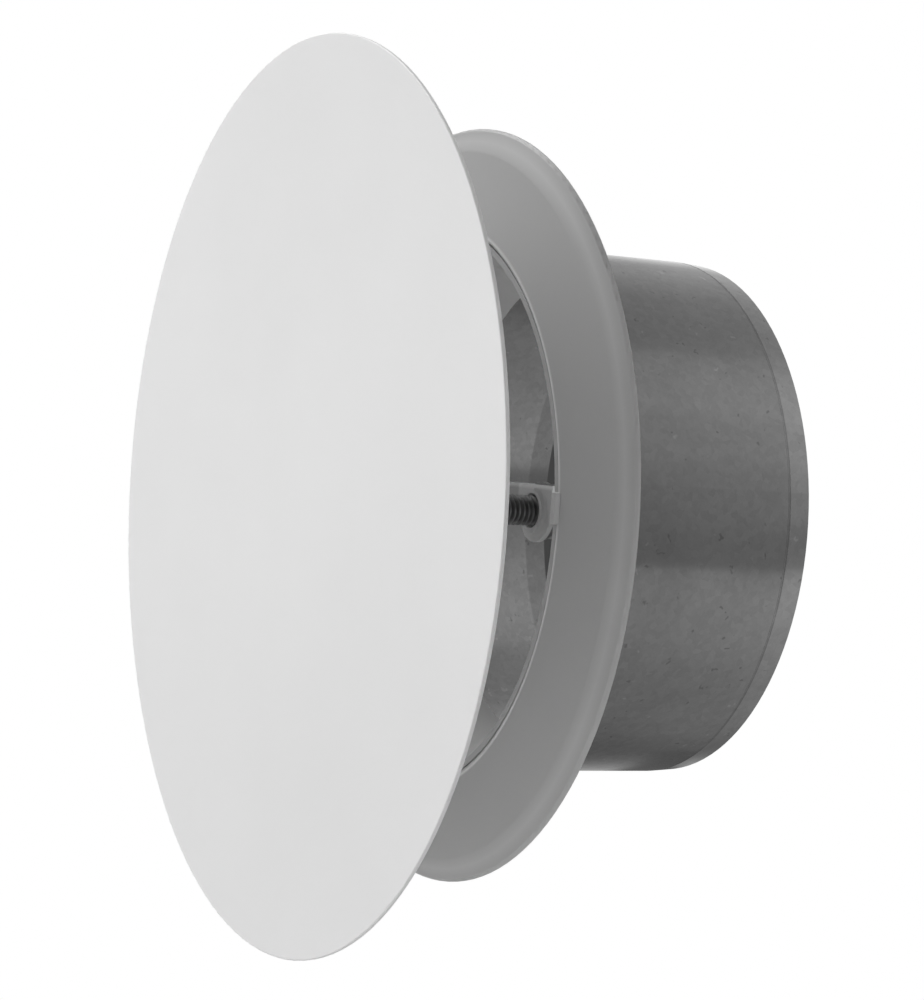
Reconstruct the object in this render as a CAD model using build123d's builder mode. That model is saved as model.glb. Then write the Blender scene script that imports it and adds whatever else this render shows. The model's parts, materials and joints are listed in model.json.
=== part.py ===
"""Ventilation disc valve for a 100 mm duct.

The valve's axis lies along Y, the disc faces -Y and Y = 0 is the wall's surface.
A flat disc on a threaded spindle screws in and out of a bridge across the throat,
and so widens or narrows the gap between the disc and the ring.
All sizes are in millimetres.
"""

import os
from math import atan, cos, degrees, pi, radians, sin, tan

from build123d import *

os.makedirs("parts", exist_ok=True)

# Mounting sleeve, pushed into the duct
sleeve_radius = 49.6
sleeve_sheet = 0.7
sleeve_length = 47.8
sleeve_bend_radius = 0.8
sleeve_rim_length = 4.3
sleeve_rim_taper = 0.3
rim_groove_radius = 0.3
rim_groove_depth = 0.15
flange_width = 11.4
flange_screw_hole_radius = 2.1
flange_screw_count = 3

# Face ring, the pressed cover around the throat
ring_sheet = 0.8
throat_step = 2.3
lip_depth = 5.75
lip_fold_radius = 0.2
lip_return_length = 2.6
ring_cone_width = 14.1
crease_soft_radius = 2.5
ring_band_width = 4.2
ring_band_lean = 24.3
edge_fold_radius = 0.05
edge_flat = 0.05

# Foam gasket between the face ring and the wall
gasket_flange_gap = 1.6
gasket_edge_gap = 1.8

# Neck ring, which carries the bridge and slides into the sleeve
neck_sheet = 1.1
neck_length = 24.0
neck_rim_recess = 0.4
neck_rim_length = 1.3
neck_funnel_rise = 3.65
neck_fold_radius = 0.5
spring_gap = 1.3

# Bridge across the throat
bridge_angle = -8.4
bridge_sheet = 1.0
strip_top = 5.0
strip_bottom = -0.3
eye_depth = 18.8
eye_flat_half = 6.8
eye_lug_radius = 6.0
eye_taper_half = 7.5
collar_wall = 1.3
collar_height = 1.0
collar_fillet = 0.4
collar_mouth_chamfer = 0.35
tab_length = 1.3
tab_overhang = 1.4
bridge_bend_radius = 1.6
stiffener_depth = 3.6
stiffener_bend_radius = 2.0
stiffener_end_gap = 2.6

# Spindle and its fasteners, M6
thread_radius = 3.0
thread_pitch = 1.0
hex_across_flats = 10.0
nut_turned_share = 0.96
nut_turned_angle = 30.0
lock_nut_height = 5.0
jam_nut_height = 3.2
washer_width = 2.5
washer_thickness = 1.0
stop_ring_width = 2.0
stop_ring_thickness = 2.0
stop_groove_depth = 0.55
stop_ring_fillet = 0.5
spindle_tail = 2.6
spindle_chamfer = 0.6

# Disc and its boss
disc_radius = 83.7
disc_sheet = 0.8
disc_edge_fillet = 0.25
disc_depth = 31.7
boss_flange_width = 3.5
boss_flange_thickness = 1.5
boss_wall = 2.5
boss_height = 8.0
boss_fillet = 0.8
boss_edge_radius = 0.4

# Springs that hold the neck ring in the sleeve
spring_count = 3
spring_first_angle = 35.0
spring_sheet = 0.4
spring_width = 9.0
spring_start = 6.0
spring_foot_length = 6.0
spring_length = 16.0
spring_bend_radius = 3.0
rivet_radius = 1.2
rivet_head_radius = 2.2
rivet_head_height = 0.5

# Travel of the disc, from its place as modelled
travel_out = 3.0

# Clearances
nest_clearance = 0.1
hole_clearance = 0.1
thread_clearance = 0.05
soft_clearance = 0.05
notch_clearance = 0.1
stop_clearance = 0.3
tab_gap = 0.4

# Steps in which the cone's corner settles to well under a thousandth
settling_steps = 20

# Sizes that follow
sleeve_bore_radius = sleeve_radius - sleeve_sheet
flange_radius = sleeve_radius + flange_width
flange_screw_circle_radius = sleeve_radius + (flange_width + sleeve_sheet) / 2
throat_radius = sleeve_radius + throat_step
crease_radius = throat_radius + ring_cone_width
ring_radius = crease_radius + ring_band_width
gasket_outer_radius = ring_radius - gasket_edge_gap
gasket_inner_radius = flange_radius + gasket_flange_gap
lip_roll_radius = ring_sheet + lip_fold_radius
edge_roll_radius = ring_sheet + edge_fold_radius
edge_depth = edge_flat + edge_roll_radius * tan(radians(90 - ring_band_lean) / 2)
crease_depth = edge_depth + ring_band_width * tan(radians(ring_band_lean))
neck_radius = sleeve_bore_radius - spring_gap
neck_bore = neck_radius - neck_sheet
neck_bend_radius = neck_sheet + neck_fold_radius
neck_rim_radius = throat_radius - nest_clearance
neck_rim_bore = neck_rim_radius - neck_sheet
neck_rim_front = neck_rim_recess - lip_depth
neck_rim_back = neck_rim_front + neck_rim_length
neck_funnel_end = neck_rim_back + neck_funnel_rise
rod_radius = thread_radius - thread_clearance
collar_radius = thread_radius + collar_wall
washer_radius = thread_radius + hole_clearance + washer_width
stop_ring_radius = thread_radius + stop_ring_width
boss_hub_radius = thread_radius + boss_wall
boss_flange_radius = boss_hub_radius + boss_flange_width
hex_corner_radius = hex_across_flats / 3**0.5
nut_seat_radius = max(hex_corner_radius, washer_radius) + hole_clearance
rivet_depth = spring_start + spring_foot_length / 2


def cone_corner_depth():
    """Depth of the cone produced to the throat, so that the rolled lip's crest lies at lip_depth."""
    depth = lip_depth
    for _ in range(settling_steps):
        lean = atan((depth - crease_depth) / ring_cone_width)
        depth = lip_depth + lip_roll_radius * (tan((pi / 2 + lean) / 2) - 1)
    return depth


cone_depth = cone_corner_depth()


def face_back(radius):
    """Y of the face ring's back surface at a radius between the throat and the edge."""
    if radius < crease_radius:
        slope = (cone_depth - crease_depth) / ring_cone_width
        front = -cone_depth + slope * (radius - throat_radius)
    else:
        slope = (crease_depth - edge_depth) / ring_band_width
        front = -crease_depth + slope * (radius - crease_radius)
    return front + ring_sheet * (1 + slope**2) ** 0.5


def radial_plane(angle, radius, y):
    """Plane square to the radius at an angle about the axis, counted from +X to +Z."""
    out = (cos(radians(angle)), 0, sin(radians(angle)))
    return Plane(origin=(radius * out[0], y, radius * out[2]), x_dir=(0, 1, 0), z_dir=out)


def facing_wall(y):
    """Plane across the axis at a depth, looking towards the wall."""
    return Plane(origin=(0, y, 0), x_dir=(-1, 0, 0), z_dir=(0, 1, 0))


def half_plane(angle):
    """Plane through the axis at an angle about it: X is the radius and Y runs along the axis."""
    out = (cos(radians(angle)), 0, sin(radians(angle)))
    return Plane(origin=(0, 0, 0), x_dir=out, z_dir=(-out[2], 0, out[0]))


def circles(piece, radius):
    """The piece's round edges of a radius, from the front to the back."""
    round_edges = piece.edges().filter_by(GeomType.CIRCLE)
    return round_edges.filter_by(lambda edge: abs(edge.radius - radius) < 0.001).sort_by(Axis.Y)


def spring_angles():
    """Angles of the springs and their rivets about the axis."""
    return [spring_first_angle + i * 360 / spring_count for i in range(spring_count)]


# Mounting sleeve: flange, tube and a rear rim that tapers to enter the duct
with BuildPart() as mounting_sleeve:
    with BuildSketch(Plane.XY):
        with BuildLine():
            FilletPolyline(
                (flange_radius, 0),
                (sleeve_radius, 0),
                (sleeve_radius, sleeve_length - sleeve_rim_length),
                (sleeve_radius - sleeve_rim_taper, sleeve_length),
                radius=[sleeve_bend_radius, sleeve_rim_length],
            )
            offset(amount=sleeve_sheet, side=Side.LEFT)
        make_face()
    revolve(axis=Axis.Y)
    with BuildSketch(Plane.XY):
        groove_centre = sleeve_radius + rim_groove_radius - rim_groove_depth
        with Locations((groove_centre, sleeve_length - sleeve_rim_length)):
            Circle(rim_groove_radius)
    revolve(axis=Axis.Y, mode=Mode.SUBTRACT)
    with BuildSketch(facing_wall(-sleeve_sheet)):
        with PolarLocations(flange_screw_circle_radius, flange_screw_count, start_angle=90):
            Circle(flange_screw_hole_radius)
    extrude(amount=sleeve_sheet, mode=Mode.SUBTRACT)
mounting_sleeve.part.label = "mounting_sleeve"

# Face ring: rolled lip at the throat, shallow cone, soft crease and rolled outer edge
with BuildPart() as face_ring:
    with BuildSketch(Plane.XY):
        with BuildLine():
            FilletPolyline(
                (throat_radius, lip_return_length - cone_depth),
                (throat_radius, -cone_depth),
                (crease_radius, -crease_depth),
                (ring_radius, -edge_depth),
                (ring_radius, 0),
                radius=[lip_roll_radius, crease_soft_radius, edge_roll_radius],
            )
            offset(amount=ring_sheet, side=Side.LEFT)
        make_face()
    revolve(axis=Axis.Y)
face_ring.part.label = "face_ring"

# Gasket: fills the hollow behind the face ring's outer part
with BuildPart() as ring_gasket:
    with BuildSketch(Plane.XY):
        with BuildLine():
            Polyline(
                (gasket_inner_radius, 0),
                (gasket_outer_radius, 0),
                (gasket_outer_radius, face_back(gasket_outer_radius) + soft_clearance),
                (crease_radius, face_back(crease_radius) + soft_clearance),
                (gasket_inner_radius, face_back(gasket_inner_radius) + soft_clearance),
                close=True,
            )
        make_face()
    revolve(axis=Axis.Y)
ring_gasket.part.label = "ring_gasket"

# Where the bridge lies: its tabs fold over the lip and its arms slope back to the eye
bridge_side = half_plane(bridge_angle)
bridge_front = Plane(origin=(0, 0, 0), x_dir=bridge_side.x_dir, z_dir=(0, -1, 0))
tab_front = -lip_depth - bridge_sheet
tab_end = throat_radius + tab_overhang
tab_bend = tab_end - tab_length
arm_lean = atan((eye_depth - tab_front) / (tab_bend - eye_flat_half))
strip_middle = (strip_top + strip_bottom) / 2
strip_height = strip_top - strip_bottom


def arm_depth(reach):
    """Y of an arm's front surface at a distance from the axis along the bridge."""
    return tab_front + (tab_bend - reach) * tan(arm_lean)


# Neck ring: its rim nests in the rolled lip, with notches for the bridge's arms, and a funnel
# leads to a tube inside the sleeve
notch_foot = neck_rim_bore - bridge_sheet
notch_reach = neck_rim_radius + notch_clearance
arm_back_step = bridge_sheet / cos(arm_lean) + notch_clearance
with BuildPart() as neck_ring:
    with BuildSketch(Plane.XY):
        with BuildLine():
            FilletPolyline(
                (neck_rim_radius, neck_rim_front),
                (neck_rim_radius, neck_rim_back),
                (neck_radius, neck_funnel_end),
                (neck_radius, neck_length),
                radius=neck_bend_radius,
            )
            offset(amount=neck_sheet, side=Side.LEFT)
        make_face()
    revolve(axis=Axis.Y)
    for angle in spring_angles():
        with BuildSketch(radial_plane(angle, neck_radius, rivet_depth)):
            Circle(rivet_radius + hole_clearance)
        extrude(amount=2 * neck_sheet, both=True, mode=Mode.SUBTRACT)
    with BuildSketch(bridge_side.offset(strip_middle)):
        with BuildLine():
            Polyline(
                (-notch_reach, tab_front),
                (notch_reach, tab_front),
                (notch_reach, arm_depth(notch_reach) + arm_back_step),
                (notch_foot, arm_depth(notch_foot) + arm_back_step),
                (-notch_foot, arm_depth(notch_foot) + arm_back_step),
                (-notch_reach, arm_depth(notch_reach) + arm_back_step),
                close=True,
            )
        make_face()
    extrude(amount=strip_height / 2 + notch_clearance, both=True, mode=Mode.SUBTRACT)
neck_ring.part.label = "neck_ring"

# Bridge: a strip folded over the lip at both ends, with a stiffened top edge and a threaded eye
stiffener_half = neck_bore - stiffener_end_gap
stiffener_end_depth = arm_depth(stiffener_half)
collar_front = eye_depth - collar_height
arm_front = bridge_side.x_dir * sin(arm_lean) - bridge_side.y_dir * cos(arm_lean)
stiffener_end = Plane(
    origin=bridge_side.x_dir * -stiffener_half + bridge_side.y_dir * stiffener_end_depth,
    x_dir=arm_front,
    z_dir=arm_front.cross(bridge_side.z_dir),
)

with BuildPart() as bridge:
    with BuildSketch(bridge_side):
        with BuildLine():
            FilletPolyline(
                (-tab_end, tab_front),
                (-tab_bend, tab_front),
                (-eye_flat_half, eye_depth),
                (eye_flat_half, eye_depth),
                (tab_bend, tab_front),
                (tab_end, tab_front),
                radius=bridge_bend_radius,
            )
            offset(amount=bridge_sheet, side=Side.LEFT)
        make_face()
    extrude(amount=2 * eye_lug_radius, both=True)
    with BuildSketch(bridge_front):
        with Locations((0, strip_middle)):
            Rectangle(2 * tab_end, strip_height)
        Circle(eye_lug_radius)
        with Locations((0, strip_top + eye_lug_radius / 2)):
            Rectangle(2 * eye_lug_radius, eye_lug_radius, mode=Mode.SUBTRACT)
        with BuildLine():
            Polyline(
                (-eye_taper_half, strip_bottom),
                (eye_taper_half, strip_bottom),
                (eye_lug_radius * cos(pi / 4), -eye_lug_radius * sin(pi / 4)),
                (-eye_lug_radius * cos(pi / 4), -eye_lug_radius * sin(pi / 4)),
                close=True,
            )
        make_face()
    extrude(amount=2 * sleeve_length, both=True, mode=Mode.INTERSECT)
    with BuildLine(bridge_side) as stiffener_path:
        FilletPolyline(
            (-stiffener_half, stiffener_end_depth),
            (-eye_flat_half, eye_depth),
            (eye_flat_half, eye_depth),
            (stiffener_half, stiffener_end_depth),
            radius=bridge_bend_radius,
        )
    with BuildSketch(stiffener_end):
        with BuildLine():
            FilletPolyline(
                (0, strip_top - 2 * stiffener_bend_radius),
                (0, strip_top),
                (-stiffener_depth, strip_top),
                radius=stiffener_bend_radius,
            )
            offset(amount=bridge_sheet, side=Side.LEFT)
        make_face()
    sweep(path=stiffener_path.line)
    with BuildSketch(facing_wall(collar_front)):
        Circle(collar_radius)
    extrude(amount=collar_height)
    fillet(circles(bridge, collar_radius)[-1], collar_fillet)
    with BuildSketch(facing_wall(collar_front)):
        Circle(thread_radius)
    extrude(amount=collar_height + bridge_sheet, mode=Mode.SUBTRACT)
    with BuildSketch(facing_wall(eye_depth + bridge_sheet)):
        Circle(nut_seat_radius)
    extrude(amount=stiffener_depth, mode=Mode.SUBTRACT)
    chamfer(circles(bridge, thread_radius), collar_mouth_chamfer)
bridge.part.label = "bridge"

# Springs: leaves riveted to the neck ring, which bow out against the sleeve
spring_foot = neck_radius + soft_clearance
spring_crest = sleeve_bore_radius - soft_clearance - spring_sheet
spring_tip = spring_foot + spring_sheet
spring_arc = degrees(spring_width / neck_radius)
spring_end = spring_start + spring_length
springs = []
for number, angle in enumerate(spring_angles(), start=1):
    with BuildPart() as retaining_spring:
        with BuildSketch(half_plane(angle + spring_arc / 2)):
            with BuildLine():
                FilletPolyline(
                    (spring_foot, spring_start),
                    (spring_foot, spring_start + spring_foot_length),
                    (spring_crest, (spring_start + spring_foot_length + spring_end) / 2),
                    (spring_tip, spring_end),
                    radius=spring_bend_radius,
                )
                offset(amount=spring_sheet, side=Side.RIGHT)
            make_face()
        revolve(axis=Axis.Y, revolution_arc=spring_arc)
        with BuildSketch(radial_plane(angle, neck_radius, rivet_depth)):
            Circle(rivet_radius + hole_clearance)
        extrude(amount=2 * spring_sheet, both=True, mode=Mode.SUBTRACT)
    retaining_spring.part.label = f"retaining_spring_{number}"
    springs.append(retaining_spring)

# Rivets: one through the foot of each spring
rivet_tail = neck_bore - rivet_head_radius**2 / neck_bore
rivet_head = spring_foot + spring_sheet + soft_clearance / 2
with BuildPart() as spring_rivets:
    for angle in spring_angles():
        with BuildSketch(radial_plane(angle, rivet_tail - rivet_head_height, rivet_depth)):
            Circle(rivet_head_radius)
        extrude(amount=rivet_head_height)
        with BuildSketch(radial_plane(angle, rivet_tail, rivet_depth)):
            Circle(rivet_radius)
        extrude(amount=rivet_head - rivet_tail)
        with BuildSketch(radial_plane(angle, rivet_head, rivet_depth)):
            Circle(rivet_head_radius)
        extrude(amount=rivet_head_height)
spring_rivets.part.label = "spring_rivets"

# Places along the spindle, from the disc to its tail
disc_back = -disc_depth
boss_end = disc_back + boss_height
jam_nut_front = boss_end + washer_thickness
bridge_back = eye_depth + bridge_sheet
lock_nut_front = bridge_back + washer_thickness
lock_nut_back = lock_nut_front + lock_nut_height
stop_front = lock_nut_back + travel_out + stop_clearance
stop_back = stop_front + stop_ring_thickness
groove_front = stop_front - soft_clearance
groove_back = stop_back + soft_clearance
groove_radius = rod_radius - stop_groove_depth
spindle_front = disc_back + stop_clearance
spindle_back = groove_back + spindle_tail

# Spindle: an M6 rod with a groove for the stop ring near its tail
with BuildPart() as spindle:
    with BuildSketch(Plane.XY):
        with BuildLine():
            Polyline(
                (0, spindle_front),
                (rod_radius - spindle_chamfer, spindle_front),
                (rod_radius, spindle_front + spindle_chamfer),
                (rod_radius, groove_front),
                (groove_radius, groove_front),
                (groove_radius, groove_back),
                (rod_radius, groove_back),
                (rod_radius, spindle_back - spindle_chamfer),
                (rod_radius - spindle_chamfer, spindle_back),
                (0, spindle_back),
                close=True,
            )
        make_face()
    revolve(axis=Axis.Y)
spindle.part.label = "spindle"

# Stop ring: sits in the spindle's groove and meets the lock nut when the disc is right out
with BuildPart() as stop_ring:
    with BuildSketch(facing_wall(stop_front)):
        Circle(stop_ring_radius)
        Circle(groove_radius + thread_clearance, mode=Mode.SUBTRACT)
    extrude(amount=stop_ring_thickness)
    fillet(circles(stop_ring, stop_ring_radius), stop_ring_fillet)
stop_ring.part.label = "stop_ring"

# Front disc: one flat round sheet with eased edges
with BuildPart() as front_disc:
    with BuildSketch(facing_wall(disc_back - disc_sheet)):
        Circle(disc_radius)
    extrude(amount=disc_sheet)
    fillet(front_disc.edges(), disc_edge_fillet)
front_disc.part.label = "front_disc"

# Disc boss: a flanged hub welded to the back of the disc, which takes the spindle's front end
with BuildPart() as disc_boss:
    with BuildSketch(Plane.XY):
        with BuildLine():
            FilletPolyline(
                (thread_radius, disc_back),
                (boss_flange_radius, disc_back),
                (boss_flange_radius, disc_back + boss_flange_thickness),
                (boss_hub_radius, disc_back + boss_flange_thickness),
                (boss_hub_radius, boss_end),
                (thread_radius, boss_end),
                radius=[0, boss_edge_radius, boss_fillet, boss_edge_radius],
            )
            Line((thread_radius, boss_end), (thread_radius, disc_back))
        make_face()
    revolve(axis=Axis.Y)
disc_boss.part.label = "disc_boss"


def washer(label, front):
    """Plain washer on the spindle, from its front face."""
    with BuildPart() as ring:
        with BuildSketch(facing_wall(front)):
            Circle(washer_radius)
            Circle(thread_radius + hole_clearance, mode=Mode.SUBTRACT)
        extrude(amount=washer_thickness)
    ring.part.label = label
    return ring


def hex_nut(label, front, height):
    """Hexagon nut on the spindle, from its front face, with its corners turned off at both faces."""
    turned_radius = hex_across_flats / 2 * nut_turned_share
    turned_height = (hex_corner_radius - turned_radius) * tan(radians(nut_turned_angle))
    with BuildPart() as nut:
        with BuildSketch(facing_wall(front)):
            RegularPolygon(hex_across_flats / 2, 6, major_radius=False)
        extrude(amount=height)
        with BuildSketch(Plane.XY):
            with BuildLine():
                Polyline(
                    (0, front),
                    (turned_radius, front),
                    (hex_corner_radius, front + turned_height),
                    (hex_corner_radius, front + height - turned_height),
                    (turned_radius, front + height),
                    (0, front + height),
                    close=True,
                )
            make_face()
        revolve(axis=Axis.Y, mode=Mode.INTERSECT)
        with BuildSketch(facing_wall(front)):
            Circle(thread_radius)
        extrude(amount=height, mode=Mode.SUBTRACT)
    nut.part.label = label
    return nut


spindle_lock_washer = washer("spindle_lock_washer", bridge_back)
spindle_lock_nut = hex_nut("spindle_lock_nut", lock_nut_front, lock_nut_height)
disc_lock_washer = washer("disc_lock_washer", boss_end)
disc_jam_nut = hex_nut("disc_jam_nut", jam_nut_front, jam_nut_height)

# Travel: the disc's back stops just short of the bridge's tabs
travel_in = tab_front - disc_back - tab_gap
print(f"travel in {travel_in:.2f} mm, out {travel_out:.2f} mm, {thread_pitch:.2f} mm a turn")

pieces = [
    mounting_sleeve,
    face_ring,
    ring_gasket,
    neck_ring,
    bridge,
    spindle_lock_washer,
    spindle_lock_nut,
    spring_rivets,
    *springs,
    spindle,
    stop_ring,
    front_disc,
    disc_boss,
    disc_lock_washer,
    disc_jam_nut,
]
for piece in pieces:
    export_step(piece.part, f"parts/{piece.part.label}.step")
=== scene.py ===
"""Looks of the ventilation disc valve: camera, studio, finishes and the spindle's thread."""
import json
from math import cos, floor, pi, radians, sin

import bpy
from mathutils import Matrix, Vector


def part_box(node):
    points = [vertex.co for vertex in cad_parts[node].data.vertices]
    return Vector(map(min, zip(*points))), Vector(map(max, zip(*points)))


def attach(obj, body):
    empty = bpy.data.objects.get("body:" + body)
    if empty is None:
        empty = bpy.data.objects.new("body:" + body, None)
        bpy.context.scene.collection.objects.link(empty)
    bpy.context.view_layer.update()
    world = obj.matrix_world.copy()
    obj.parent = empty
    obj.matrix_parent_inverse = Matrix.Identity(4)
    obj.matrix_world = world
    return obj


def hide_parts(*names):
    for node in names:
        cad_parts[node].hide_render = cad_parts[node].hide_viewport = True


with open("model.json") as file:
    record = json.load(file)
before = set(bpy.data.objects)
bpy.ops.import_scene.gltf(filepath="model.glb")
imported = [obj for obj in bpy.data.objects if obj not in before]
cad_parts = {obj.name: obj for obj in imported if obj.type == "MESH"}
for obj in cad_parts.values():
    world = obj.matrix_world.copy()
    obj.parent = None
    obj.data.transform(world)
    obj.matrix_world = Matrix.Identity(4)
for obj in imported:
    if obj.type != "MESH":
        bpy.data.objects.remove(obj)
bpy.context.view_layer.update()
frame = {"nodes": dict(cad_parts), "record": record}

MM = 0.001

# Camera, fitted to the outlines of the disc, ring, lip and sleeve
focal_px = 2700
frame_height_px = 1000
raised_px = 100
film_mm = 36
near_clip = 0.01
far_clip = 50
camera_azimuth = radians(62.66)
camera_elevation = radians(-3.73)
camera_distance = 507.2 * MM
aim_right = 2.74 * MM
aim_up = -17.63 * MM


def view_axes(azimuth, elevation):
    """Right, up and forward of a level camera that looks at the origin."""
    forward = -Vector((cos(elevation) * sin(azimuth), -cos(elevation) * cos(azimuth), sin(elevation)))
    right = Vector((cos(azimuth), sin(azimuth), 0))
    return right, right.cross(forward), forward


def stand(piece, place, axes):
    """Put a camera or lamp at a place, looking along the forward axis."""
    right, up, forward = axes
    turn = Matrix((right, up, -forward)).transposed().to_4x4()
    piece.matrix_world = Matrix.Translation(place) @ turn
    bpy.context.collection.objects.link(piece)


def make_camera():
    """Camera at the reference viewpoint, level, with its frame raised a little."""
    right, up, forward = view_axes(camera_azimuth, camera_elevation)
    data = bpy.data.cameras.new("photo_camera")
    data.lens = focal_px * film_mm / frame_height_px
    data.sensor_width = film_mm
    data.shift_y = raised_px / frame_height_px
    data.clip_start = near_clip
    data.clip_end = far_clip
    camera = bpy.data.objects.new("photo_camera", data)
    place = right * aim_right + up * aim_up - forward * camera_distance
    stand(camera, place, (right, up, forward))
    bpy.context.scene.camera = camera


make_camera()

# Span that most values of a noise lie in
noise_low, noise_high = 0.3, 0.7


class Nodes:
    """A material's or world's node tree, built by short calls."""

    def __init__(self, tree):
        self.tree = tree
        tree.nodes.clear()

    def add(self, kind, values=None, **settings):
        """New node with settings, and socket values or links by name or number."""
        node = self.tree.nodes.new(kind)
        for name, value in settings.items():
            setattr(node, name, value)
        for socket, value in (values or {}).items():
            if isinstance(value, bpy.types.NodeSocket):
                self.tree.links.new(value, node.inputs[socket])
            else:
                node.inputs[socket].default_value = value
        return node

    def show(self, shader, kind="ShaderNodeOutputMaterial"):
        """Output node that shows a shader."""
        self.add(kind, {0: shader.outputs[0]})

    def maths(self, operation, first, second=0.0):
        """Result of a maths node."""
        return self.add("ShaderNodeMath", {0: first, 1: second}, operation=operation).outputs[0]

    def chain(self, operation, first, *others):
        """Result of an operation on several values in turn."""
        for other in others:
            first = self.maths(operation, first, other)
        return first

    def vector(self, operation, values, output=0):
        """Result of a vector maths node."""
        return self.add("ShaderNodeVectorMath", values, operation=operation).outputs[output]

    def along(self, place, direction):
        """Part of a vector along a direction."""
        return self.vector("DOT_PRODUCT", {0: place, 1: direction}, "Value")

    def noise(self, place, scale, detail=2.0, roughness=0.5):
        """Noise value at a scale in features per metre."""
        values = {"Vector": place, "Scale": scale, "Detail": detail, "Roughness": roughness}
        return self.add("ShaderNodeTexNoise", values).outputs[0]

    def span(self, value, low, high, to_low=0.0, to_high=1.0):
        """Value mapped from one span to another, and held at its ends."""
        values = {0: value, 1: low, 2: high, 3: to_low, 4: to_high}
        return self.add("ShaderNodeMapRange", values).outputs[0]

    def spread(self, noise, to_low=0.0, to_high=1.0):
        """Noise value mapped from where most of it lies to a whole span."""
        return self.span(noise, noise_low, noise_high, to_low, to_high)

    def ramp(self, value, stops):
        """Grey at a value along stops of place and shade."""
        node = self.add("ShaderNodeValToRGB", {0: value})
        elements = node.color_ramp.elements
        while len(elements) < len(stops):
            elements.new(0.5)
        for element, (place, shade) in zip(elements, stops):
            element.position = place
            element.color = grey(shade)
        return node.outputs[0]

    def mix(self, factor, first, second):
        """Colour between two colours."""
        return self.add("ShaderNodeMix", {0: factor, 6: first, 7: second}, data_type="RGBA").outputs[2]

    def bump(self, height, strength, distance, normal=None):
        """Normal bent by a height."""
        values = {"Strength": strength, "Distance": distance, "Height": height}
        if normal is not None:
            values["Normal"] = normal
        return self.add("ShaderNodeBump", values).outputs[0]


def material(name):
    """New material with an empty tree and its object coordinates."""
    made = bpy.data.materials.new(name)
    made.use_nodes = True
    nodes = Nodes(made.node_tree)
    return made, nodes, nodes.add("ShaderNodeTexCoord").outputs["Object"]


def grey(value):
    """Neutral colour."""
    return (value, value, value, 1)


def darkened(colour, share):
    """Colour with each part at a share of its value."""
    return (*(share * part for part in colour[:3]), 1)


# Colour of the painted highlights and painted light on the ring and the bridge
painted_light_colour = grey(0.92)

# Painted highlights: light lines round the ring, by their distance from the axis, one on the crest
# of the lip and a fainter one on the outer band
crest_radius = 52.9 * MM
crest_half_width = 0.45 * MM
crest_front = -4.5 * MM
lip_front = -5.85 * MM
band_line_radius = 67.8 * MM
band_line_half_width = 1.5 * MM
band_line_most = 0.19

# Painted highlight on the band below the bridge's folded top edge, by the height along the
# bridge's own upright
bridge_turn = radians(-8.4)
fold_top = 5.0 * MM
fold_height = 0.4 * MM
fold_soft = 0.7 * MM
fold_most = 0.8
fold_reach = 45.0 * MM
fold_fade, fold_end = 0.85, 0.98

# Painted light: slightly lighter paint on the bridge's tabs, which lie in front of the lip, and in the
# throat, which lightens these shaded places
tab_share = 0.1
throat_share = 0.12
throat_reach = 50.5 * MM


def line_share(nodes, reach, radius, half_width, most=1.0):
    """Share that is most at a radius and falls to none on both sides."""
    off = nodes.maths("ABSOLUTE", nodes.maths("SUBTRACT", reach, radius))
    return nodes.span(off, 0.0, half_width, most, 0.0)


def crest_share(nodes, reach, depth):
    """One on the lip's crest and none elsewhere."""
    near = line_share(nodes, reach, crest_radius, crest_half_width)
    on_lip = nodes.maths("LESS_THAN", depth, crest_front)
    behind_tabs = nodes.maths("GREATER_THAN", depth, lip_front)
    return nodes.chain("MULTIPLY", near, on_lip, behind_tabs)


def fold_share(nodes, place):
    """Share on the band below the bridge's top edge, and none on top of the fold and elsewhere."""
    up = (-sin(bridge_turn), 0, cos(bridge_turn))
    facing = nodes.add("ShaderNodeTexCoord").outputs["Normal"]
    off_top = nodes.span(nodes.along(facing, up), fold_fade, fold_end, 1.0, 0.0)
    height = nodes.along(place, up)
    band_foot = fold_top - fold_height
    band = nodes.span(height, band_foot - fold_soft, band_foot, 0.0, fold_most)
    below_top = nodes.maths("LESS_THAN", height, fold_top + fold_soft)
    reach = nodes.maths("ABSOLUTE", nodes.along(place, (cos(bridge_turn), 0, sin(bridge_turn))))
    inside = nodes.maths("LESS_THAN", reach, fold_reach)
    return nodes.chain("MULTIPLY", band, off_top, below_top, inside)


def ring_painted_light(nodes, place):
    """Share of painted light on the ring's lines, the bridge's band and tabs, and in the throat."""
    apart = nodes.add("ShaderNodeSeparateXYZ", {0: place}).outputs
    across = nodes.add("ShaderNodeCombineXYZ", {0: apart["X"], 2: apart["Z"]}).outputs[0]
    reach = nodes.vector("LENGTH", {0: across}, "Value")
    depth = apart["Y"]
    crest = crest_share(nodes, reach, depth)
    fold = fold_share(nodes, place)
    band_line = line_share(nodes, reach, band_line_radius, band_line_half_width, band_line_most)
    tabs = nodes.maths("MULTIPLY", nodes.maths("LESS_THAN", depth, lip_front), tab_share)
    throat = nodes.maths("MULTIPLY", nodes.maths("LESS_THAN", reach, throat_reach), throat_share)
    return nodes.chain("MAXIMUM", crest, fold, band_line, tabs, throat)


# Powder coat: scales in features per metre, heights of the relief and change of the gloss
peel_scale = 520
peel_height = 0.03 * MM
coat_grain_scale = 4200
coat_grain_height = 0.006 * MM
coat_relief = 0.25
coat_cloud_scale = 18
coat_cloud_dark = 0.97
coat_gloss_change = 0.03
coat_specular = 0.4


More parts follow.
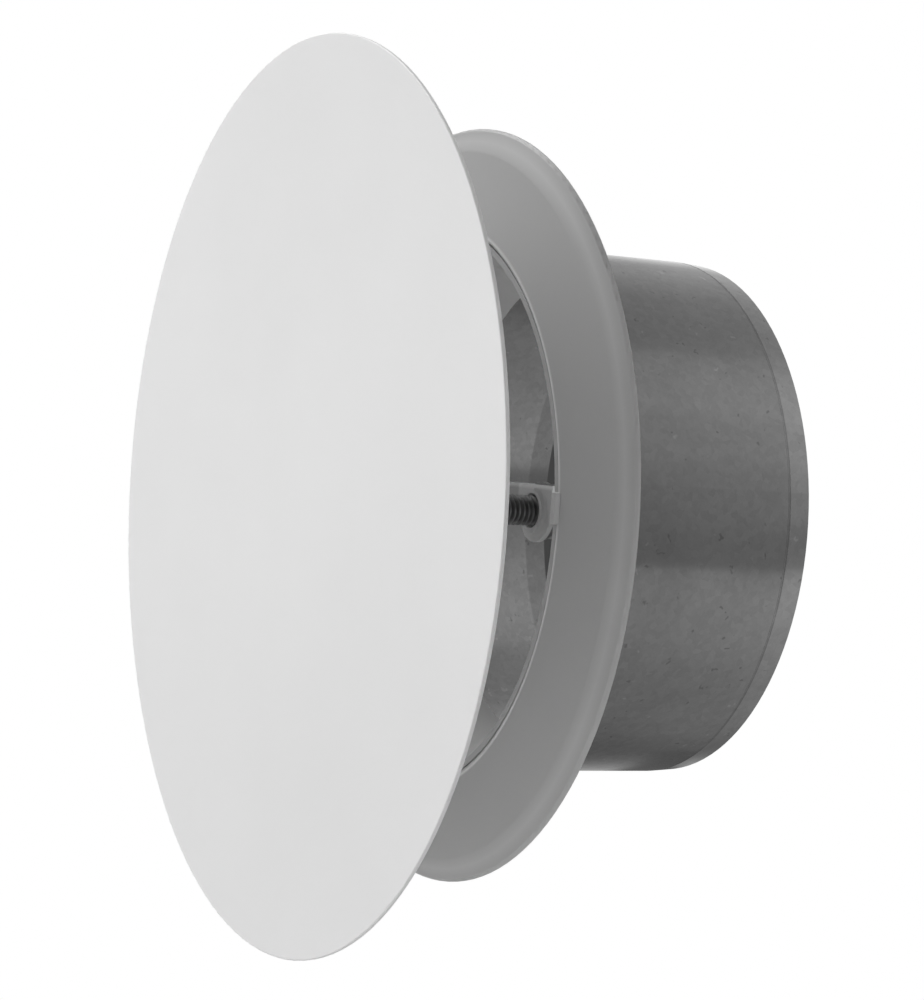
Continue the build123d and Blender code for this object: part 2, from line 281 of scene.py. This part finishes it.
def powder_coat(name, colour, roughness, painted_light=None):
    """Powder coat: faint orange peel, fine grain and hardly any change of tone, with painted light where
    given.
    """
    made, nodes, place = material(name)
    peel = nodes.noise(place, peel_scale)
    grain = nodes.noise(place, coat_grain_scale, detail=1.0)
    cloud = nodes.noise(place, coat_cloud_scale, detail=3.0)
    base = nodes.mix(nodes.spread(cloud), darkened(colour, coat_cloud_dark), colour)
    if painted_light is not None:
        base = nodes.mix(painted_light(nodes, place), base, painted_light_colour)
    rough = nodes.spread(grain, roughness - coat_gloss_change, roughness + coat_gloss_change)
    bent = nodes.bump(peel, coat_relief, peel_height)
    bent = nodes.bump(grain, coat_relief, coat_grain_height, bent)
    values = {"Base Color": base, "Roughness": rough, "Normal": bent, "Specular IOR Level": coat_specular}
    nodes.show(nodes.add("ShaderNodeBsdfPrincipled", values))
    return made


# Marks on a share of the cells of a Voronoi pattern: how finely and far their outlines are bent, in
# cells, and where a mark is full and where it ends
fleck_bend_fineness = 2.2
fleck_bend = 0.9
fleck_full, fleck_end = 0.07, 0.15


def flecks(nodes, place, shift, scale, share):
    """Small uneven marks on a share of the cells of a Voronoi pattern, shifted to its own places."""
    moved = nodes.vector("ADD", {0: place, 1: (shift, shift, shift)})
    values = {"Vector": moved, "Scale": fleck_bend_fineness * scale, "Detail": 1.0}
    bend = nodes.add("ShaderNodeTexNoise", values).outputs["Color"]
    bend = nodes.vector("SCALE", {0: bend, "Scale": fleck_bend / scale})
    bent = nodes.vector("ADD", {0: moved, 1: bend})
    cells = nodes.add("ShaderNodeTexVoronoi", {"Vector": bent, "Scale": scale}).outputs
    mark = nodes.span(cells["Distance"], fleck_full, fleck_end, 1.0, 0.0)
    chosen = nodes.add("ShaderNodeSeparateColor", {0: cells["Color"]}).outputs[0]
    return nodes.maths("MULTIPLY", mark, nodes.maths("LESS_THAN", chosen, share))


# Galvanised sheet: scales in features per metre, and the weight of each pattern in the tone
spangle_scale, spangle_weight = 850, 0.3
sheet_cloud_scale, sheet_cloud_weight = 70, 0.6
sheet_fine_scale, sheet_fine_weight = 1700, 0.3
sheet_noise_roughness = 0.6
pit_shift, pit_scale, pit_share, pit_weight = 0.0, 330, 0.6, -0.9
scuff_shift, scuff_scale, scuff_share, scuff_weight = 0.37, 260, 0.4, 0.5
tone_end = 1.2
gloss_tone_start, gloss_tone_end = 0.2, 1.0
gloss_dull, gloss_bright = 0.05, -0.04
sheet_relief, sheet_height = 0.12, 0.01 * MM
pit_relief, pit_height = 0.3, -0.02 * MM


def galvanised(name, light, dark, roughness):
    """Galvanised sheet: faint fine spangle, cloudy tone, and small dark and bright handling marks."""
    made, nodes, place = material(name)
    cell = nodes.add("ShaderNodeTexVoronoi", {"Vector": place, "Scale": spangle_scale})
    spangle = nodes.add("ShaderNodeRGBToBW", {0: cell.outputs["Color"]}).outputs[0]
    cloud = nodes.noise(place, sheet_cloud_scale, detail=4.0, roughness=sheet_noise_roughness)
    fine = nodes.noise(place, sheet_fine_scale, detail=3.0, roughness=sheet_noise_roughness)
    pit = flecks(nodes, place, pit_shift, pit_scale, pit_share)
    scuff = flecks(nodes, place, scuff_shift, scuff_scale, scuff_share)
    weighted = [
        nodes.maths("MULTIPLY", pattern, weight)
        for pattern, weight in (
            (spangle, spangle_weight),
            (cloud, sheet_cloud_weight),
            (fine, sheet_fine_weight),
            (pit, pit_weight),
            (scuff, scuff_weight),
        )
    ]
    tone = nodes.chain("ADD", *weighted)
    base = nodes.mix(nodes.span(tone, 0.0, tone_end), dark, light)
    rough = nodes.span(
        tone, gloss_tone_start, gloss_tone_end, roughness + gloss_dull, roughness + gloss_bright
    )
    bent = nodes.bump(fine, sheet_relief, sheet_height)
    bent = nodes.bump(pit, pit_relief, pit_height, bent)
    values = {"Base Color": base, "Roughness": rough, "Normal": bent, "Metallic": 1.0}
    nodes.show(nodes.add("ShaderNodeBsdfPrincipled", values))
    return made


# Plated, blackened and bare steel
steel_grain_scale = 2500
steel_cloud_scale = 300
steel_cloud_dark = 0.7
steel_gloss_change = 0.06
steel_relief, steel_height = 0.2, 0.01 * MM


def bare_steel(name, colour, roughness):
    """Plated or blackened steel with a fine grain and small changes of gloss."""
    made, nodes, place = material(name)
    grain = nodes.noise(place, steel_grain_scale)
    cloud = nodes.noise(place, steel_cloud_scale)
    base = nodes.mix(nodes.spread(cloud), darkened(colour, steel_cloud_dark), colour)
    rough = nodes.spread(grain, roughness - steel_gloss_change, roughness + steel_gloss_change)
    bent = nodes.bump(grain, steel_relief, steel_height)
    values = {"Base Color": base, "Roughness": rough, "Normal": bent, "Metallic": 1.0}
    nodes.show(nodes.add("ShaderNodeBsdfPrincipled", values))
    return made


# Closed-cell foam
pore_scale = 1800
pore_dark = 0.5
pore_edge = 0.6
pore_relief, pore_depth = 0.6, 0.2 * MM
foam_roughness = 0.9


def foam(name, colour):
    """Closed-cell foam: matt, with open pores at its cut faces."""
    made, nodes, place = material(name)
    pores = nodes.add("ShaderNodeTexVoronoi", {"Vector": place, "Scale": pore_scale}).outputs["Distance"]
    base = nodes.mix(nodes.span(pores, 0.0, pore_edge), darkened(colour, pore_dark), colour)
    bent = nodes.bump(pores, pore_relief, pore_depth)
    values = {"Base Color": base, "Roughness": foam_roughness, "Normal": bent}
    nodes.show(nodes.add("ShaderNodeBsdfPrincipled", values))
    return made


# Finishes, one for each material slot of the record
finishes = {
    "disc_paint": powder_coat("disc_paint", grey(0.85), 0.5),
    # The ring's paint is set darker than the disc's as painted shade, for the disc's shadow on the ring
    "ring_paint": powder_coat("ring_paint", grey(0.56), 0.34, ring_painted_light),
    "galvanised_sheet": galvanised("galvanised_sheet", grey(0.66), grey(0.36), 0.12),
    "black_steel": bare_steel("black_steel", grey(0.3), 0.38),
    "zinc_steel": bare_steel("zinc_steel", (0.62, 0.62, 0.60, 1), 0.3),
    "spring_steel": bare_steel("spring_steel", grey(0.4), 0.28),
    "gasket_foam": foam("gasket_foam", grey(0.15)),
}


def dress_nodes():
    """Give every CAD node the finish of its slot."""
    slots = {row["node"]: row["material_slot"] for row in frame["record"]["subparts"]}
    for name, piece in frame["nodes"].items():
        piece.data.materials.clear()
        piece.data.materials.append(finishes[slots[name]])


dress_nodes()

# Thread of the spindle: its profile gives the place along a turn and the share of the thread's depth
thread_pitch = 1.0 * MM
thread_depth = 0.6 * MM
thread_segments = 40
thread_profile = ((0.0, 0.0), (0.16, 0.0), (0.5, 1.0), (0.66, 1.0))
stop_groove_radius = 2.4 * MM


def threaded_spindle():
    """Right-hand M6 thread on the spindle's own length, with chamfered ends and the stop ring's groove."""
    low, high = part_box("spindle")
    start, end = low[1], high[1]
    radius = (high[0] - low[0]) / 2
    stop_low, stop_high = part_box("stop_ring")
    end_radius = radius - thread_depth
    turns = floor((end - start) / thread_pitch) + 2
    steps = turns * thread_segments

    def limit(y):
        """Largest radius at a place along the spindle."""
        if stop_low[1] <= y <= stop_high[1]:
            return stop_groove_radius
        return min(radius, end_radius + (y - start), end_radius + (end - y))

    points = []
    for step in range(steps + 1):
        angle = 2 * pi * step / thread_segments
        for place, depth in thread_profile:
            y = start + thread_pitch * (step / thread_segments - 1 + place)
            y = min(max(y, start), end)
            reach = min(radius - thread_depth * depth, limit(y))
            points.append((reach * sin(angle), y, reach * cos(angle)))
    columns = len(thread_profile)
    faces = []
    for step in range(steps):
        for column in range(columns):
            here = step * columns + column
            if column + 1 < columns:
                beside = here + 1
            elif step + 1 + thread_segments <= steps:
                beside = (step + thread_segments) * columns
            else:
                continue
            faces.append((here, here + columns, beside + columns, beside))
    mesh = bpy.data.meshes.new("spindle_thread")
    mesh.from_pydata(points, [], faces)
    mesh.validate()
    mesh.update()
    piece = bpy.data.objects.new("spindle_thread", mesh)
    bpy.context.collection.objects.link(piece)
    mesh.materials.append(finishes["black_steel"])
    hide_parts("spindle")
    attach(piece, "disc_assembly")


threaded_spindle()

# Corners of a flat plate, in half sides from its middle
plate_corners = ((-1, -1), (1, -1), (1, 1), (-1, 1))


def studio_object(name, points, faces, materials, turned_off=()):
    """Object of the studio from points and faces, with some kinds of visibility turned off."""
    mesh = bpy.data.meshes.new(name)
    mesh.from_pydata(points, [], faces)
    for made in materials:
        mesh.materials.append(made)
    piece = bpy.data.objects.new(name, mesh)
    for visibility in turned_off:
        setattr(piece, visibility, False)
    bpy.context.collection.objects.link(piece)
    return piece


def white_rays(nodes):
    """One for the rays that meet a white studio: those of the camera, of mirroring and of clear surfaces."""
    path = nodes.add("ShaderNodeLightPath").outputs
    return nodes.chain("MAXIMUM", path["Is Camera Ray"], path["Is Glossy Ray"], path["Is Transmission Ray"])


# Studio: a pale floor well below the valve, which is held by its sleeve. The floor is partly white
# near the valve, so that the shadow shows, and fully white further out.
floor_drop = 0.42
floor_half = 12.0
floor_near = 0.5
floor_far = 1.5
floor_near_white = 0.6
floor_cloud_scale = 1.5
floor_dark, floor_light = grey(0.82), grey(0.86)


def make_floor():
    """Pale floor that keeps a soft shadow near the valve and turns white further out."""
    made, nodes, place = material("studio_floor")
    cloud = nodes.noise(place, floor_cloud_scale)
    pale = nodes.mix(nodes.spread(cloud), floor_dark, floor_light)
    matt = nodes.add("ShaderNodeBsdfDiffuse", {"Color": pale})
    glow = nodes.add("ShaderNodeEmission", {"Color": grey(1.0), "Strength": 1.0})
    reach = nodes.vector("LENGTH", {0: place}, "Value")
    white = nodes.span(reach, floor_near, floor_far, floor_near_white, 1.0)
    share = nodes.maths("MULTIPLY", white_rays(nodes), white)
    nodes.show(nodes.add("ShaderNodeMixShader", {0: share, 1: matt.outputs[0], 2: glow.outputs[0]}))
    corners = [(x * floor_half, y * floor_half, 0) for x, y in plate_corners]
    ground = studio_object("floor", corners, [(0, 1, 2, 3)], [made])
    ground.location = (0, 0, -floor_drop)


make_floor()

# Light of the surroundings on matt surfaces, by the height that it comes from: 0 is straight below
# and 1 straight above
ambient_by_height = ((0.0, 0.1), (0.35, 0.06), (0.5, 0.04), (0.7, 0.08), (1.0, 0.12))


def make_world():
    """White to the camera and to mirroring surfaces, and soft light from above and below to matt ones."""
    world = bpy.data.worlds.new("studio")
    bpy.context.scene.world = world
    world.use_nodes = True
    nodes = Nodes(world.node_tree)
    look = nodes.add("ShaderNodeTexCoord").outputs["Generated"]
    height = nodes.add("ShaderNodeSeparateXYZ", {0: look}).outputs["Z"]
    ambient = nodes.ramp(nodes.span(height, -1.0, 1.0), ambient_by_height)
    colour = nodes.mix(white_rays(nodes), ambient, grey(1.0))
    sky = nodes.add("ShaderNodeBackground", {"Color": colour, "Strength": 1.0})
    nodes.show(sky, "ShaderNodeOutputWorld")


make_world()

# Light tent round the valve that only mirroring surfaces show: grey bands at angles about the
# valve's axis, from 0 on the right through 90 above, in degrees, and a grey end behind
tent_radius = 0.38
tent_front = -0.9
tent_back = 0.9
tent_sides = 96
tent_end_shade = 0.27
tent_bands = (
    (-180, 0.5),
    (-165, 0.38),
    (-150, 0.28),
    (-138, 0.165),
    (-128, 0.133),
    (-118, 0.16),
    (-108, 0.2),
    (-96, 0.215),
    (-86, 0.21),
    (-76, 0.232),
    (-66, 0.26),
    (-52, 0.285),
    (-38, 0.305),
    (-28, 0.295),
    (-25.5, 0.188),
    (-12, 0.182),
    (0, 0.208),
    (10, 0.24),
    (20, 0.295),
    (34, 0.307),
    (40, 0.35),
    (52, 0.355),
    (64.5, 0.305),
    (66.5, 0.255),
    (76, 0.235),
    (92, 0.258),
    (101, 0.265),
    (110, 0.305),
    (123, 0.37),
    (136, 0.4),
    (150, 0.7),
    (162, 1.0),
)

# Gain of the bands by the place along the axis: lower up to the near place, higher from the far one
tent_near_y, tent_near_gain = 0.2, 0.88
tent_far_y, tent_far_gain = 0.32, 1.36

# Dark patch on the tent's lower left
patch_shade = grey(0.12)
patch_soft = 0.008
patch_start = 0.25
patch_end = 0.283
patch_low = radians(-172)
patch_high = radians(-128)

# Faint unevenness of the studio's cloth
cloth_scale = 6
cloth_low, cloth_high = 0.94, 1.06


def cloth(name, shade):
    """Glow of the studio's cloth, with a shade from a function of its nodes and places."""
    made, nodes, place = material(name)
    level = nodes.spread(nodes.noise(place, cloth_scale), cloth_low, cloth_high)
    nodes.show(nodes.add("ShaderNodeEmission", {"Color": shade(nodes, place), "Strength": level}))
    return made


def plain_shade(value):
    """Function that gives the same grey at every place."""
    return lambda nodes, place: grey(value)


def band_shade(nodes, place):
    """Shade of the tent's wall by the angle about the valve's axis."""
    apart = nodes.add("ShaderNodeSeparateXYZ", {0: place}).outputs
    depth = apart["Y"]
    angle = nodes.maths("ARCTAN2", apart["Z"], apart["X"])
    stops = [((degrees + 180) / 360, shade) for degrees, shade in tent_bands]
    bands = nodes.ramp(nodes.span(angle, -pi, pi), stops)
    gain = nodes.span(depth, tent_near_y, tent_far_y, tent_near_gain, tent_far_gain)
    wall = nodes.vector("SCALE", {0: bands, "Scale": gain})
    patch = nodes.chain(
        "MULTIPLY",
        nodes.span(depth, patch_start, patch_start + patch_soft),
        nodes.span(depth, patch_end, patch_end + patch_soft, 1.0, 0.0),
        nodes.maths("GREATER_THAN", angle, patch_low),
        nodes.maths("LESS_THAN", angle, patch_high),
    )
    return nodes.mix(patch, wall, patch_shade)


def make_tent():
    """Tube with a closed back round the valve, which lights no matt surface and casts no shadow."""
    rim = [2 * pi * side / tent_sides for side in range(tent_sides)]
    points = [
        (tent_radius * cos(angle), y, tent_radius * sin(angle))
        for y in (tent_front, tent_back)
        for angle in rim
    ]
    faces = [
        (side, (side + 1) % tent_sides, (side + 1) % tent_sides + tent_sides, side + tent_sides)
        for side in range(tent_sides)
    ]
    faces.append(tuple(range(tent_sides, 2 * tent_sides)))
    made = [cloth("tent_wall", band_shade), cloth("tent_end", plain_shade(tent_end_shade))]
    turned_off = ("visible_camera", "visible_diffuse", "visible_shadow")
    tent = studio_object("studio_tent", points, faces, made, turned_off)
    tent.data.polygons[-1].material_index = 1


make_tent()

# Painted shade: a small dark card far behind, which the camera sees only through the throat and the
# sleeve's open end, where it darkens the view. Its reach is in multiples of the camera's distance from
# the sleeve's far side.
sleeve_far_side = Vector((-47, 47.8, 0)) * MM
card_reach = 6.5
card_width = 0.12
card_height = 0.34
card_painted_shade = 0.053


def make_painted_shade_card():
    """Dark card of painted shade on the line of sight past the lip, facing the camera and hidden from all
    else.
    """
    right, up, forward = view_axes(camera_azimuth, camera_elevation)
    eye = bpy.context.scene.camera.matrix_world.translation
    middle = eye + (sleeve_far_side - eye) * card_reach
    half_right, half_up = right * card_width / 2, up * card_height / 2
    corners = [middle + half_right * x + half_up * z for x, z in plate_corners]
    made = [cloth("painted_shade_cloth", plain_shade(card_painted_shade))]
    turned_off = ("visible_diffuse", "visible_glossy", "visible_transmission", "visible_shadow")
    card = studio_object("painted_shade_card", corners, [(0, 1, 2, 3)], made, turned_off)


make_painted_shade_card()

# Soft square lamps that face the valve: name, azimuth and elevation as for the camera, side and watts
lamp_distance = 1.6
lamps = (
    ("key", -60, 60, 0.9, 20.0),
    ("front", -5, 8, 0.9, 10.3),
    ("back", 155, 10, 0.9, 4.0),
    ("rear", 215, 35, 0.9, 4.5),
    ("side", 88, 33, 0.6, 3.5),
)


def make_lamps():
    """All lamps of the studio."""
    for name, azimuth, elevation, side, watts in lamps:
        right, up, forward = view_axes(radians(azimuth), radians(elevation))
        data = bpy.data.lights.new(name, "AREA")
        data.shape = "SQUARE"
        data.size = side
        data.energy = watts
        lamp = bpy.data.objects.new(name, data)
        stand(lamp, -forward * lamp_distance, (right, up, forward))


make_lamps()

bpy.context.scene.view_settings.view_transform = "Standard"
